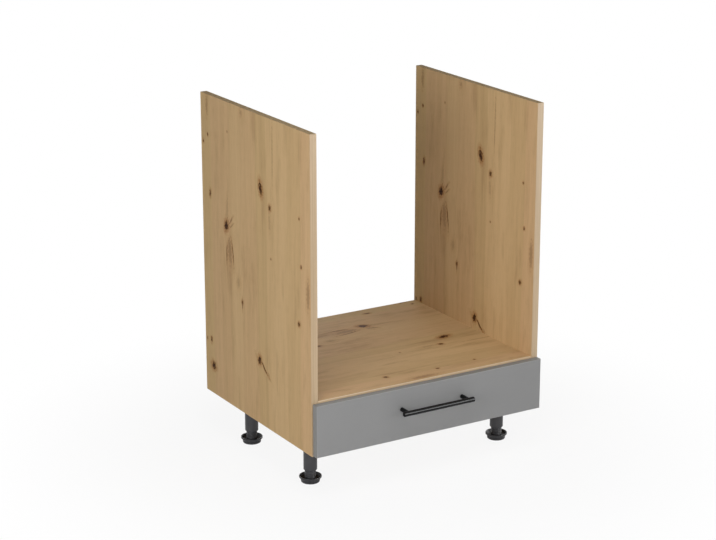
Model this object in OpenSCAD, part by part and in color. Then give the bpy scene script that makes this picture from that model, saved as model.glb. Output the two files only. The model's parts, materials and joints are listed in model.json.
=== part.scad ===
// Base cabinet for a built-under oven: two tall sides, a deck that carries the oven, a shallow
// drawer under the deck and four levelling legs. Sizes are in millimetres. X runs across the
// cabinet, Y from the drawer front to the back and Z up from the floor. The origin is on the
// floor, in the middle of the space that the whole cabinet takes up.

/* [Carcass] */
// Width over the outer faces of the sides
cab_w = 600; // [450:10:900]
// Depth of the sides with their front edging
cab_d = 500; // [480:5:600]
// Height of the sides
side_h = 720; // [600:10:900]
// Thickness of the boards of the carcass and the drawer box
board_t = 16; // [15:0.5:19]
// Thickness of the edging strips
edge_t = 0.8; // [0.4:0.2:2]
// Height of the oven deck's top face above the lower ends of the sides
deck_h = 125; // [120:1:170]
// Thickness of the back panel
back_t = 3; // [2.5:0.5:5]
// How far the back panel lies inside the back edges of the sides
back_in = 1; // [0:0.5:3]
// How far the back panel stops below the deck's top face
back_drop = 2; // [1:0.5:6]
// Play of the back panel beside each of the sides
back_play = 0.5; // [0.2:0.1:1]
// Nails along each edge of the back panel
nail_count = 5; // [3:1:8]
// Diameter of a nail
nail_d = 1.8; // [1.4:0.2:2.4]
// Length of a nail
nail_l = 20; // [16:1:30]

/* [Joints of the boards] */
// Distance of a cam bolt from the front and back edges of the sides
cam_in = 37; // [32:1:42]
// Distance between a cam bolt and the dowel beside it
dowel_pitch = 32; // [25:1:36]
// Diameter of a cam
cam_d = 15; // [13:0.5:16]
// Distance of a cam's centre from the end of its board
cam_x = 34; // [28:1:36]
// How far a cam reaches past the middle of its board
cam_over = 4.3; // [4:0.1:4.6]
// Diameter of a cam bolt's thread
bolt_thread_d = 5; // [4:0.5:6]
// Length of a cam bolt's thread
bolt_thread_l = 11; // [9:0.5:12]
// Diameter of a cam bolt's shank
bolt_d = 6.8; // [6:0.2:7]
// Diameter of the bore for a cam bolt in the end of a board
end_bore_d = 8; // [7.5:0.5:8.5]
// Diameter of a dowel
dowel_d = 8; // [6:0.5:8]
// Length of a dowel
dowel_l = 30; // [26:1:35]
// How far a dowel reaches into the face of a board
dowel_out = 12; // [9:0.5:13]
// Play between a fastener and its hole
fit = 0.1; // [0.06:0.02:0.3]

/* [Screws] */
// Diameter of the wood screws
screw_d = 3.5; // [3:0.5:4]
// Head diameter of the wood screws
screw_head_d = 6.6; // [6:0.2:7]
// Length of the wood screws
screw_l = 14; // [12:1:15]
// Thread diameter of the long screws through the drawer sides
long_screw_d = 5; // [4:0.5:5]
// Shoulder diameter of the long screws
long_screw_neck_d = 7; // [6.5:0.5:7.5]
// Head diameter of the long screws
long_screw_head_d = 10; // [9:0.5:11]
// Length of the long screws
long_screw_l = 50; // [40:1:60]

/* [Runners] */
// Space between the runners and the back panel
rail_room = 43; // [20:1:90]
// Space between a drawer side and the carcass for a runner
side_clear = 12.5; // [12.5:0.1:14]
// Thickness of the runner's sheet steel
rail_t = 1.2; // [1:0.1:1.4]
// Width of the channel that is screwed to the carcass
rail_w = 9; // [8.8:0.1:9.6]
// Height of the channel above the bottom board
rail_z = 8; // [4:1:9]
// How far the channel starts behind the front edges of the sides
rail_back = 3; // [2:0.5:6]
// Height of the turned lips
rail_lip = 3; // [2:0.5:4]
// Inner radius of the bends
bend_r = 0.4; // [0.3:0.1:0.8]
// Width of the flange under a drawer side
under_w = 12; // [8:0.5:15]
// Height of that flange above the channel's lower edge
rail_under = 1; // [0.5:0.1:2]
// Gap between the two members of a runner, one above the other
rail_gap = 1; // [0.6:0.1:1.5]
// Diameter of a roller
roller_d = 20; // [19:0.5:22]
// Width of a roller
roller_w = 5; // [4:0.2:5.2]
// Diameter of the rivet that a roller turns on
rivet_d = 5; // [4:0.5:6]
// Distance of a roller's axis from the end of its rail
roller_in = 13; // [12:1:16]
// Gap between a roller and what it runs on
run_gap = 0.1; // [0.05:0.05:0.2]
// How far the runner stops short of its whole length
rail_loss = 110; // [100:5:140]

/* [Drawer] */
// Thickness of the drawer front
front_t = 16; // [15:0.5:22]
// Gap beside the drawer front, up to the outer face of a side
front_side_gap = 2; // [1:0.5:4]
// Gap between the drawer front and the lower ends of the sides
front_low_gap = 2; // [0:0.5:4]
// Gap between the drawer front's upper edge and the deck's top face
front_top_gap = 3; // [1:0.5:5]
// Gap between the drawer front and the front edges of the sides
front_gap = 2; // [1:0.5:4]
// Rounding of the drawer front's outer edges
front_round = 1.5; // [0.5:0.5:3]
// Height of the drawer's sides
box_h = 68; // [62:1:74]
// Thickness of the drawer's bottom
bottom_t = 3; // [2.5:0.5:4]
// Depth of the groove that holds the drawer's bottom
groove_d = 6; // [4:0.5:8]
// Height of the groove above the lower edge of the drawer's sides
groove_up = 10; // [8:0.5:11]
// Distance of the drawer's cams below the upper edge of its sides
drawer_cam_drop = 18; // [16:1:20]
// Height of the drawer's dowels above the lower edge of its sides
drawer_dowel_up = 28; // [24:1:29]
// Diameter of the soft buffers behind the drawer front
buffer_d = 8; // [6:0.5:10]
// Distance of the buffers from the ends of the drawer front
buffer_in = 14; // [10:1:20]

/* [Handle] */
// Diameter of the handle's bar
bar_d = 12; // [10:0.5:14]
// Distance between the handle's posts
post_pitch = 160; // [96:32:320]
// How far the bar reaches past each post's axis
bar_over = 13; // [10:1:40]
// Diameter of the posts
post_d = 10; // [8:0.5:10]
// How far the handle stands out from the drawer front
handle_out = 35; // [30:1:45]
// Distance of the handle's axis below the drawer front's upper edge
handle_drop = 49; // [30:1:70]
// Chamfer of the bar's ends
bar_chamfer = 0.8; // [0.4:0.2:1.6]
// Diameter of the handle's screws
handle_screw_d = 4; // [3:0.5:5]
// How far the handle's screws reach into the posts
handle_screw_in = 8; // [6:0.5:12]

/* [Legs] */
// Height of the legs, from the floor to the lower ends of the sides
leg_h = 100; // [100:5:160]
// Distance of a leg's axis from the outer face of a side
leg_x = 47; // [45:1:80]
// Distance of a front leg's axis from the front edges of the sides
leg_front = 90; // [86:1:130]
// Distance of a rear leg's axis from the back edges of the sides
leg_rear = 134; // [118:1:180]
// Outer diameter of the leg's tube
tube_d = 31; // [29:0.5:34]
// Diameter of the screw stem in the tube
stem_d = 25.4; // [23:0.2:26]
// Play between the stem and the tube, over the diameter
stem_play = 0.4; // [0.2:0.1:0.8]
// Length of stem that shows between the tube and the foot
stem_show = 14.5; // [12:0.5:20]
// Length of stem inside the tube
stem_in = 30; // [20:1:32]
// Wall of the hollow stem
stem_wall = 3.2; // [2.4:0.2:4]
// Height of the foot
foot_h = 15; // [14:0.5:20]
// Diameter of the foot's rim
foot_d = 51; // [48:0.5:60]
// Diameter of the foot's body
foot_body_d = 43; // [40:0.5:46]
// Rounding of the foot's lower edge
foot_round = 3; // [1:0.5:4]
// Thickness of the foot's rim
rim_t = 2; // [1.4:0.2:3]
// Depth of the ring cut round the foot
ring_cut = 0.5; // [0.3:0.1:0.8]
// Thickness of the foot's floor
foot_floor = 3.6; // [3:0.2:5]
// Diameter of the leg's plate
plate_d = 70; // [66:1:74]
// Thickness of the leg's plate
plate_t = 4; // [3:0.5:5]
// Distance of the plate's screws from its axis
plate_screw_r = 25; // [23:0.5:28]
// Length of the spigot that holds the tube
spigot_l = 20; // [14:1:24]

/* [Hidden] */
$fn = 64;

// Planes of the carcass
reach = front_gap + front_t + handle_out;
front_y = (reach - cab_d) / 2;
back_y = front_y + cab_d;
board_front_y = front_y + edge_t;
board_back_y = back_y - back_in - back_t;
inner_x = cab_w / 2 - board_t;
base_z = leg_h;
deck_z = base_z + deck_h;
board_zs = [base_z, deck_z - board_t];

// Joints of the boards
cam_h = board_t / 2 + cam_over;
cam_ys = [front_y + cam_in, back_y - cam_in];
dowel_ys = [front_y + cam_in + dowel_pitch, back_y - cam_in - dowel_pitch];
bolt_neck_d = bolt_d / 2;
bolt_head_d = bolt_d * 0.94;
bolt_head_l = bolt_head_d / 2;
shank_end = cam_x - cam_d * 0.63;
cam_mouth = bolt_head_d * 1.1;
cam_cross = cam_d * 0.55;
cross_w = cam_d * 0.12;

// Runners: u runs from the inner face of a side towards the drawer, v up from the channel's edge
rail_l = cab_d - rail_back - rail_room - back_t - back_in;
rail_y = [front_y + rail_back, front_y + rail_back + rail_l];
rail_base_z = base_z + board_t + rail_z;
rail_play = 4 * run_gap;
rail_h = roller_d + 2 * rail_t + run_gap + rail_play;
run_v = rail_h + rail_gap;
front_roller_v = run_v - run_gap - roller_d / 2;
rear_roller_v = rail_t + run_gap + roller_d / 2;
front_roller_y = rail_y[0] + roller_in;
cutaway_l = roller_in + roller_d / 2 + rail_lip;
rivet_head_r = rivet_d * 0.8;
rivet_head_l = rivet_d * 0.2;
rivet_tail_d = rivet_d * 0.7;
travel = rail_l - rail_loss;

// Drawer
box_w = cab_w - 2 * board_t - 2 * side_clear;
box_y = [front_y - front_gap, front_y - front_gap + rail_l];
box_z = rail_base_z + rail_under + rail_t;
face_y = box_y[0] - front_t;
front_z = [base_z + front_low_gap, deck_z - front_top_gap];
front_x = cab_w / 2 - front_side_gap;
groove_z = box_z + groove_up;
back_face_y = box_y[1] - board_t;
drawer_rail_y = [box_y[0] + rail_gap, box_y[1]];
rear_roller_y = box_y[1] - roller_in;
web_top = run_v - rail_under;
rail_screw_z = groove_z + bottom_t + screw_head_d * 0.65;
long_screw_zs = [box_z + web_top + long_screw_head_d * 0.7,
    box_z + box_h - long_screw_head_d * 1.2];

// Handle
handle_z = front_z[1] - handle_drop;
bar_y = face_y - handle_out + bar_d / 2;

// Legs
leg_ys = [front_y + leg_front, back_y - leg_rear];
leg_axis_x = cab_w / 2 - leg_x;
tube_bore_d = stem_d + stem_play;
tube_z = [foot_h + stem_show, leg_h - plate_t];
cup_r = tube_bore_d / 2;
foot_seat_z = foot_floor + run_gap;
foot_dish_z = foot_h * 0.55;
bead_z = (foot_floor + foot_dish_z) / 2;

// Points of an arc that rounds the corner p of a right-angled outline between points a and b
function unit(v) = v / norm(v);
function corner(a, p, b, r, n = 4) =
    r <= 0 ? [p] :
    let (e1 = unit(a - p), e2 = unit(b - p), c = p + r * (e1 + e2))
    [for (i = [0:n]) c - r * (e2 * cos(90 * i / n) + e1 * sin(90 * i / n))];

// An open path with each of its inner corners rounded by its own radius
function bent(path, radii) = [
    for (i = [0:len(path) - 1])
        for (q = i == 0 || i == len(path) - 1 ? [path[i]]
            : corner(path[i - 1], path[i], path[i + 1], radii[i - 1])) q];
function reversed(list) = [for (i = [len(list) - 1:-1:0]) list[i]];

// A block between two opposite corners
module block(a, b) {
    translate(a) cube(b - a);
}

// A turned piece: points are [radius, height]
module turned(points) {
    rotate_extrude() polygon(points);
}

// An outline in X and Z, drawn out along Y
module along_y(y) {
    translate([0, y[1], 0]) rotate([90, 0, 0]) linear_extrude(y[1] - y[0]) children();
}

module both_sides() {
    children();
    mirror([1, 0, 0]) children();
}

// Places of the left-hand joints: X leads from the joint's plane into the end of the board, and
// the cams go in from below
module left_joints(zs, ys) {
    for (z = zs, y = ys) translate([-inner_x, y, z + board_t / 2]) children();
}

// Place of a joint between the drawer front and the left side of the drawer, cam on the outside
module left_drawer_joint(z) {
    translate([-(box_w - board_t) / 2, box_y[0], z]) rotate([90, 0, 90]) children();
}

module left_drawer_cam() {
    left_drawer_joint(box_z + box_h - drawer_cam_drop) children();
}

module left_drawer_dowel() {
    left_drawer_joint(box_z + drawer_dowel_up) children();
}

// Screws and other fasteners: the head lies at the origin and the shank points up; grow widens a
// fastener into its hole
module wood_screw(grow = 0) {
    r = screw_d / 2 + grow;
    head_r = screw_head_d / 2 + grow;
    turned([[0, -grow], [head_r, -grow], [head_r, 0], [r, head_r - r],
        [r, screw_l - screw_d], [0, screw_l + grow]]);
}

module long_screw(grow = 0) {
    r = long_screw_d / 2 + grow;
    neck_r = long_screw_neck_d / 2 + grow;
    head_r = long_screw_head_d / 2 + grow;
    neck_l = board_t * 0.875;
    turned([[0, -grow], [head_r, -grow], [head_r, 0], [neck_r, head_r - neck_r], [neck_r, neck_l],
        [r, neck_l], [r, long_screw_l - long_screw_d], [0, long_screw_l + grow]]);
}

module nail(grow = 0) {
    r = nail_d / 2 + grow;
    turned([[0, 0], [r, 0], [r, nail_l - nail_d], [0, nail_l + grow]]);
    translate([0, 0, -nail_d / 2]) cylinder(r = nail_d, h = nail_d / 2);
}

module dowel(grow = 0) {
    r = dowel_d / 2 + grow;
    tip = dowel_d / 8;
    rotate([0, 90, 0]) turned([[0, -dowel_out - grow], [r - tip, -dowel_out - grow],
        [r, tip - dowel_out - grow], [r, dowel_l - dowel_out - tip + grow],
        [r - tip, dowel_l - dowel_out + grow], [0, dowel_l - dowel_out + grow]]);
}

module cam_bolt() {
    rotate([0, 90, 0]) turned([[0, -bolt_thread_l], [bolt_thread_d / 2, -bolt_thread_l],
        [bolt_thread_d / 2, 0], [bolt_d / 2, 0], [bolt_d / 2, shank_end],
        [bolt_neck_d / 2, shank_end], [bolt_neck_d / 2, cam_x - bolt_head_l],
        [bolt_head_d / 2, cam_x - bolt_head_l], [bolt_head_d / 2, cam_x - fit], [0, cam_x - fit]]);
}

// Threaded hole of a cam bolt in the face of a board
module bolt_hole() {
    rotate([0, -90, 0]) translate([0, 0, -1])
        cylinder(d = bolt_thread_d + fit, h = bolt_thread_l + fit + 1);
}

module cam_lock() {
    difference() {
        translate([cam_x, 0, -board_t / 2]) cylinder(d = cam_d - fit, h = cam_h - fit);
        translate([cam_x - cam_d, -cam_mouth / 2, -cam_mouth / 2])
            cube([cam_d, cam_mouth, cam_mouth]);
        for (a = [45, 135])
            translate([cam_x, 0, -board_t / 2]) rotate(a)
                cube([cam_cross, cross_w, 2 * cross_w], center = true);
    }
}

// Bores for a cam and its bolt in the end of a board
module cam_bores() {
    rotate([0, 90, 0]) translate([0, 0, -1]) cylinder(d = end_bore_d, h = cam_x + 1);
    translate([cam_x, 0, -board_t / 2 - 1]) cylinder(d = cam_d, h = cam_h + 1);
}

module left_rail_screws(grow = 0) {
    for (y = [rail_y[0] + cutaway_l + 2 * rail_w, (rail_y[0] + rail_y[1]) / 2,
            rail_y[1] - 2 * rail_w])
        translate([rail_t - inner_x, y, rail_base_z + rail_h / 2]) rotate([0, -90, 0])
            wood_screw(grow);
}

module left_drawer_rail_screws(grow = 0) {
    for (y = [drawer_rail_y[0] + 3 * rail_w, (drawer_rail_y[0] + drawer_rail_y[1]) / 2,
            rear_roller_y - roller_d])
        translate([-box_w / 2 - rail_t, y, rail_screw_z]) rotate([0, 90, 0]) wood_screw(grow);
}

module left_long_screws(grow = 0) {
    for (z = long_screw_zs)
        translate([-box_w / 2, box_y[1] - board_t / 2, z]) rotate([0, 90, 0]) long_screw(grow);
}

module back_fixings(grow = 0) {
    first = nail_l;
    pitch = (2 * inner_x - 2 * first) / (nail_count - 1);
    for (z = board_zs, i = [0:nail_count - 1])
        translate([first - inner_x + i * pitch, back_y - back_in, z + board_t / 2])
            rotate([90, 0, 0]) nail(grow);
}

module at_legs() {
    for (x = [-leg_axis_x, leg_axis_x], y = leg_ys) translate([x, y, 0]) children();
}

module leg_fixings(grow = 0) {
    at_legs() for (a = [0:90:270])
        rotate(a) translate([plate_screw_r, 0, base_z - plate_t]) wood_screw(grow);
}

// Carcass
module left_side() {
    color("burlywood") difference() {
        block([-cab_w / 2, board_front_y, base_z], [-inner_x, back_y, base_z + side_h]);
        left_joints(board_zs, cam_ys) bolt_hole();
        left_joints(board_zs, dowel_ys) dowel(fit / 2);
        left_rail_screws(fit / 2);
    }
}

module level_board(z) {
    color("burlywood") difference() {
        block([-inner_x, board_front_y, z], [inner_x, board_back_y, z + board_t]);
        both_sides() left_joints([z], cam_ys) cam_bores();
        both_sides() left_joints([z], dowel_ys) dowel(fit / 2);
        back_fixings(fit / 2);
        if (z == base_z) leg_fixings(fit / 2);
    }
}

module left_side_panel() {
    left_side();
}

module right_side_panel() {
    mirror([1, 0, 0]) left_side();
}

module oven_deck() {
    level_board(board_zs[1]);
}

module bottom_panel() {
    level_board(board_zs[0]);
}

module back_panel() {
    color("wheat") difference() {
        block([back_play - inner_x, board_back_y, base_z],
            [inner_x - back_play, back_y - back_in, deck_z - back_drop]);
        back_fixings(fit / 2);
    }
}

module left_edging() {
    color("tan") block([-cab_w / 2, front_y, base_z], [-inner_x, board_front_y, base_z + side_h]);
}

module right_edging() {
    mirror([1, 0, 0]) left_edging();
}

module level_edging(z) {
    color("tan") block([-inner_x, front_y, z], [inner_x, board_front_y, z + board_t]);
}

module deck_edging() {
    level_edging(board_zs[1]);
}

module bottom_edging() {
    level_edging(board_zs[0]);
}

module cam_locks() {
    color("silver") both_sides() left_joints(board_zs, cam_ys) cam_lock();
}

module cam_bolts() {
    color("silver") both_sides() left_joints(board_zs, cam_ys) cam_bolt();
}

module wooden_dowels() {
    color("wheat") both_sides() left_joints(board_zs, dowel_ys) dowel();
}

module back_nails() {
    color("silver") back_fixings();
}

// Runners: the channel on the carcass opens towards the drawer, and a roller at its front end
// carries the drawer's rail, whose own roller runs in the channel
module left_channel() {
    outer = [[rail_w, rail_lip], [rail_w, 0], [0, 0], [0, rail_h], [rail_w, rail_h],
        [rail_w, rail_h - rail_lip]];
    inner = [[rail_w - rail_t, rail_lip], [rail_w - rail_t, rail_t], [rail_t, rail_t],
        [rail_t, rail_h - rail_t], [rail_w - rail_t, rail_h - rail_t],
        [rail_w - rail_t, rail_h - rail_lip]];
    outer_r = bend_r + rail_t;
    stop_v = rail_h - rail_t - rail_lip;
    stop_y = rear_roller_y - travel - sqrt(pow(roller_d / 2, 2) - pow(stop_v - rear_roller_v, 2));
    color("gainsboro") difference() {
        translate([-inner_x, 0, rail_base_z]) union() {
            along_y(rail_y) polygon(concat(bent(outer, [outer_r, outer_r, outer_r, outer_r]),
                reversed(bent(inner, [bend_r, bend_r, bend_r, bend_r]))));
            block([rail_t, stop_y - 3 * run_gap - rail_t, stop_v],
                [rail_w - rail_t, stop_y - 3 * run_gap, rail_h - rail_t]);
        }
        translate([-inner_x, rail_y[0], rail_base_z])
            block([rail_t, -1, rail_lip + rail_t], [rail_w + 1, cutaway_l, rail_h + 1]);
        translate([-inner_x, front_roller_y, rail_base_z + front_roller_v]) rotate([0, 90, 0])
            cylinder(d = rivet_tail_d + fit, h = 3 * rail_t, center = true);
        left_rail_screws(fit / 2);
    }
}

// A rail under a drawer side: its flange beside the drawer runs on the front roller
module left_drawer_member() {
    u0 = rail_w / 2 - roller_w / 2;
    web = side_clear - rail_t;
    low = [[u0, run_v + rail_lip - bend_r], [u0, run_v], [web, run_v], [web, rail_under],
        [side_clear + under_w, rail_under]];
    high = [[u0 + rail_t, run_v + rail_lip - bend_r], [u0 + rail_t, run_v + rail_t],
        [side_clear, run_v + rail_t], [side_clear, rail_under + rail_t],
        [side_clear + under_w, rail_under + rail_t]];
    color("gainsboro") difference() {
        translate([-inner_x, 0, rail_base_z]) along_y(drawer_rail_y)
            polygon(concat(bent(low, [bend_r + rail_t, bend_r, rail_t]),
                reversed(bent(high, [bend_r, bend_r + rail_t, 0]))));
        translate([web - inner_x, rear_roller_y, rail_base_z + rear_roller_v]) rotate([0, 90, 0])
            cylinder(d = rivet_tail_d + fit, h = 3 * rail_t, center = true);
        left_drawer_rail_screws(fit / 2);
    }
}

// A nylon roller on the X axis, with its rivet's head sunk in the end that faces +X
module roller() {
    r = roller_d / 2;
    half = roller_w / 2;
    bevel = roller_d * 0.03;
    bore_r = (rivet_d + run_gap) / 2;
    sink_r = rivet_head_r + 2 * run_gap;
    sink_z = half - rivet_head_l - 2 * run_gap;
    color("white") rotate([0, 90, 0]) turned([[bore_r, -half], [r - bevel, -half],
        [r, bevel - half], [r, half - bevel], [r - bevel, half], [r - 3 * bevel, half],
        [r - 4 * bevel, half - bevel], [sink_r + 2 * bevel, half - bevel],
        [sink_r + bevel, half], [sink_r, half], [sink_r, sink_z], [bore_r, sink_z]]);
}

// The rivet of a roller: shoulder is the distance between the roller and the sheet that holds it
module rivet(shoulder) {
    half = roller_w / 2;
    collar_r = rivet_d * 0.7;
    sheet_x = -half - shoulder;
    head_x = half - rivet_head_l - run_gap;
    rotate([0, 90, 0]) turned([[0, sheet_x - rail_t], [rivet_tail_d / 2, sheet_x - rail_t],
        [rivet_tail_d / 2, sheet_x], [collar_r, sheet_x], [collar_r, -half - run_gap],
        [rivet_d / 2, -half - run_gap], [rivet_d / 2, head_x], [rivet_head_r, head_x],
        [rivet_head_r, half - run_gap], [0, half - run_gap]]);
}

module left_front_place() {
    translate([rail_w / 2 - inner_x, front_roller_y, rail_base_z + front_roller_v]) children();
}

module left_rear_place() {
    translate([rail_w / 2 - inner_x, rear_roller_y, rail_base_z + rear_roller_v])
        mirror([1, 0, 0]) children();
}

module left_cabinet_rail() {
    left_channel();
}

module right_cabinet_rail() {
    mirror([1, 0, 0]) left_channel();
}

module cabinet_rail_screws() {
    color("silver") both_sides() left_rail_screws();
}

module left_front_roller() {
    left_front_place() roller();
}

module right_front_roller() {
    mirror([1, 0, 0]) left_front_roller();
}

module front_roller_rivets() {
    color("silver") both_sides() left_front_place() rivet(rail_w / 2 - roller_w / 2 - rail_t);
}

module left_drawer_rail() {
    left_drawer_member();
}

module right_drawer_rail() {
    mirror([1, 0, 0]) left_drawer_member();
}

module drawer_rail_screws() {
    color("silver") both_sides() left_drawer_rail_screws();
}

module left_rear_roller() {
    left_rear_place() roller();
}

module right_rear_roller() {
    mirror([1, 0, 0]) left_rear_roller();
}

module rear_roller_rivets() {
    color("silver") both_sides() left_rear_place()
        rivet(side_clear - rail_t - rail_w / 2 - roller_w / 2);
}

// Legs: a plate with a spigot, a tube over the spigot, and a screw stem that turns in its foot
module leg_plates() {
    spigot_d = tube_bore_d - fit;
    color("dimgray") difference() {
        at_legs() {
            translate([0, 0, base_z - plate_t]) cylinder(d = plate_d, h = plate_t);
            translate([0, 0, base_z - plate_t - spigot_l]) cylinder(d = spigot_d, h = spigot_l + 1);
        }
        at_legs() translate([0, 0, base_z - plate_t - spigot_l - 1])
            cylinder(d = spigot_d - 2 * stem_wall, h = spigot_l + 1);
        leg_fixings(fit / 2);
    }
}

module leg_screws() {
    color("silver") leg_fixings();
}

module leg_tubes() {
    r = tube_d / 2;
    edge = (tube_d - tube_bore_d) / 4;
    color("dimgray") at_legs() turned([[tube_bore_d / 2, tube_z[0]], [r - edge, tube_z[0]],
        [r, tube_z[0] + edge], [r, tube_z[1]], [tube_bore_d / 2, tube_z[1]]]);
}

// The stem's lower end is held in the foot's cup by a bead in a groove, so that it can turn there
module stem() {
    r = stem_d / 2;
    groove = stem_play;
    seat = foot_seat_z;
    top = tube_z[0] + stem_in;
    color("dimgray") turned([[0, seat], [r - 0.5, seat], [r, seat + 0.5], [r, bead_z - 2 * groove],
        [r - groove - 0.2, bead_z - 1.5 * groove], [r - groove - 0.2, bead_z + 1.5 * groove],
        [r, bead_z + 2 * groove], [r, top - 1], [r - 1, top], [r - stem_wall, top],
        [r - stem_wall, tube_z[0]], [0, tube_z[0]]]);
}

module foot() {
    r = foot_d / 2;
    body_r = foot_body_d / 2;
    flare = r - body_r;
    ring_z = foot_h * 0.43;
    bead = stem_play;
    color("dimgray") turned(concat(
        [[0, 0]],
        [for (a = [0:15:90]) [body_r - foot_round * (1 - sin(a)), foot_round * (1 - cos(a))]],
        [[body_r, ring_z - 1.5 * ring_cut], [body_r - ring_cut, ring_z - 0.5 * ring_cut],
        [body_r - ring_cut, ring_z + 0.5 * ring_cut], [body_r, ring_z + 1.5 * ring_cut],
        [body_r, foot_h - 1.7 * flare], [body_r + flare * 0.3, foot_h - 1.2 * flare],
        [r, foot_h - 0.9 * flare], [r, foot_h - 0.4 * rim_t],
        [r - 0.15 * rim_t, foot_h - 0.1 * rim_t],
        [r - 0.4 * rim_t, foot_h], [r - 0.7 * rim_t, foot_h], [r - rim_t, foot_h - 0.3 * rim_t],
        [body_r - 0.3 * rim_t, foot_dish_z + 0.9 * rim_t],
        [body_r - 1.3 * rim_t, foot_dish_z + 0.2 * rim_t], [body_r - 2.2 * rim_t, foot_dish_z],
        [cup_r, foot_dish_z], [cup_r, bead_z + bead], [cup_r - bead, bead_z + bead / 2],
        [cup_r - bead, bead_z - bead / 2], [cup_r, bead_z - bead], [cup_r, foot_floor],
        [0, foot_floor]]));
}

module front_left_stem() {
    translate([-leg_axis_x, leg_ys[0], 0]) stem();
}

module front_right_stem() {
    translate([leg_axis_x, leg_ys[0], 0]) stem();
}

module rear_left_stem() {
    translate([-leg_axis_x, leg_ys[1], 0]) stem();
}

module rear_right_stem() {
    translate([leg_axis_x, leg_ys[1], 0]) stem();
}

module front_left_foot() {
    translate([-leg_axis_x, leg_ys[0], 0]) foot();
}

module front_right_foot() {
    translate([leg_axis_x, leg_ys[0], 0]) foot();
}

module rear_left_foot() {
    translate([-leg_axis_x, leg_ys[1], 0]) foot();
}

module rear_right_foot() {
    translate([leg_axis_x, leg_ys[1], 0]) foot();
}

// Drawer
module drawer_front() {
    r = front_round;
    plan = bent([[-front_x, box_y[0]], [-front_x, face_y], [front_x, face_y], [front_x, box_y[0]]],
        [r, r]);
    section = bent([[box_y[0], front_z[0]], [face_y, front_z[0]], [face_y, front_z[1]],
        [box_y[0], front_z[1]]], [r, r]);
    color("gray") difference() {
        intersection() {
            translate([0, 0, front_z[0]]) linear_extrude(front_z[1] - front_z[0]) polygon(plan);
            rotate([90, 0, 90]) translate([0, 0, -front_x]) linear_extrude(2 * front_x)
                polygon(section);
        }
        both_sides() left_drawer_cam() bolt_hole();
        both_sides() left_drawer_dowel() dowel(fit / 2);
        bottom_sheet(fit);
        both_sides() translate([-post_pitch / 2, box_y[0] + 1, handle_z]) rotate([90, 0, 0])
            cylinder(d = handle_screw_d + 4 * fit, h = front_t + 2);
    }
}

// The sheet in the drawer's grooves, widened by grow on every face
module bottom_sheet(grow = 0) {
    x = box_w / 2 - board_t + groove_d - 2 * fit + grow;
    block([-x, box_y[0] - groove_d + 2 * fit - grow, groove_z - grow],
        [x, back_face_y + groove_d - 2 * fit + grow, groove_z + bottom_t + grow]);
}

module left_drawer_board() {
    color("whitesmoke") difference() {
        block([-box_w / 2, box_y[0], box_z], [board_t - box_w / 2, box_y[1], box_z + box_h]);
        left_drawer_cam() cam_bores();
        left_drawer_dowel() dowel(fit / 2);
        left_drawer_rail_screws(fit / 2);
        left_long_screws(fit / 2);
        bottom_sheet(fit);
    }
}

module drawer_left_side() {
    left_drawer_board();
}

module drawer_right_side() {
    mirror([1, 0, 0]) left_drawer_board();
}

module drawer_back() {
    x = box_w / 2 - board_t;
    color("whitesmoke") difference() {
        block([-x, back_face_y, box_z], [x, box_y[1], box_z + box_h]);
        both_sides() left_long_screws(fit / 2);
        bottom_sheet(fit);
    }
}

module drawer_bottom() {
    color("whitesmoke") bottom_sheet();
}

module drawer_cam_locks() {
    color("silver") both_sides() left_drawer_cam() cam_lock();
}

module drawer_cam_bolts() {
    color("silver") both_sides() left_drawer_cam() cam_bolt();
}

module drawer_dowels() {
    color("wheat") both_sides() left_drawer_dowel() dowel();
}

module drawer_back_screws() {
    color("silver") both_sides() left_long_screws();
}

module front_buffers() {
    thick = front_gap - 2 * run_gap;
    color("lightgray") both_sides() for (z = [front_z[0] + buffer_in, front_z[1] - buffer_in])
        translate([(board_t - cab_w) / 2, box_y[0] + thick, z]) rotate([90, 0, 0])
            cylinder(d1 = buffer_d - thick / 2, d2 = buffer_d, h = thick);
}

// Handle: a round bar on two posts, screwed on from inside the drawer
module bar_hole() {
    translate([0, bar_y, handle_z]) rotate([0, 90, 0])
        cylinder(d = bar_d + fit, h = 2 * post_pitch, center = true);
}

module handle_bar() {
    r = bar_d / 2;
    end = post_pitch / 2 + bar_over;
    c = bar_chamfer;
    color("black") translate([0, bar_y, handle_z]) rotate([0, 90, 0])
        turned([[0, -end], [r - c, -end], [r, c - end], [r, end - c], [r - c, end], [0, end]]);
}

module left_handle_post() {
    color("black") difference() {
        translate([-post_pitch / 2, face_y, handle_z]) rotate([90, 0, 0])
            cylinder(d = post_d, h = face_y - bar_y);
        translate([-post_pitch / 2, face_y + 1, handle_z]) rotate([90, 0, 0])
            cylinder(d = handle_screw_d + fit, h = handle_screw_in + fit + 1);
        bar_hole();
    }
}

module right_handle_post() {
    mirror([1, 0, 0]) left_handle_post();
}

module handle_screws() {
    r = handle_screw_d / 2;
    head_l = handle_screw_d * 0.6;
    tip = head_l + front_t + handle_screw_in;
    color("silver") both_sides() translate([-post_pitch / 2, box_y[0] + head_l, handle_z])
        rotate([90, 0, 0]) turned([[0, 0], [r * 1.7, 0], [r * 2, head_l * 0.4], [r * 2, head_l],
            [r, head_l], [r, tip], [0, tip]]);
}

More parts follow.
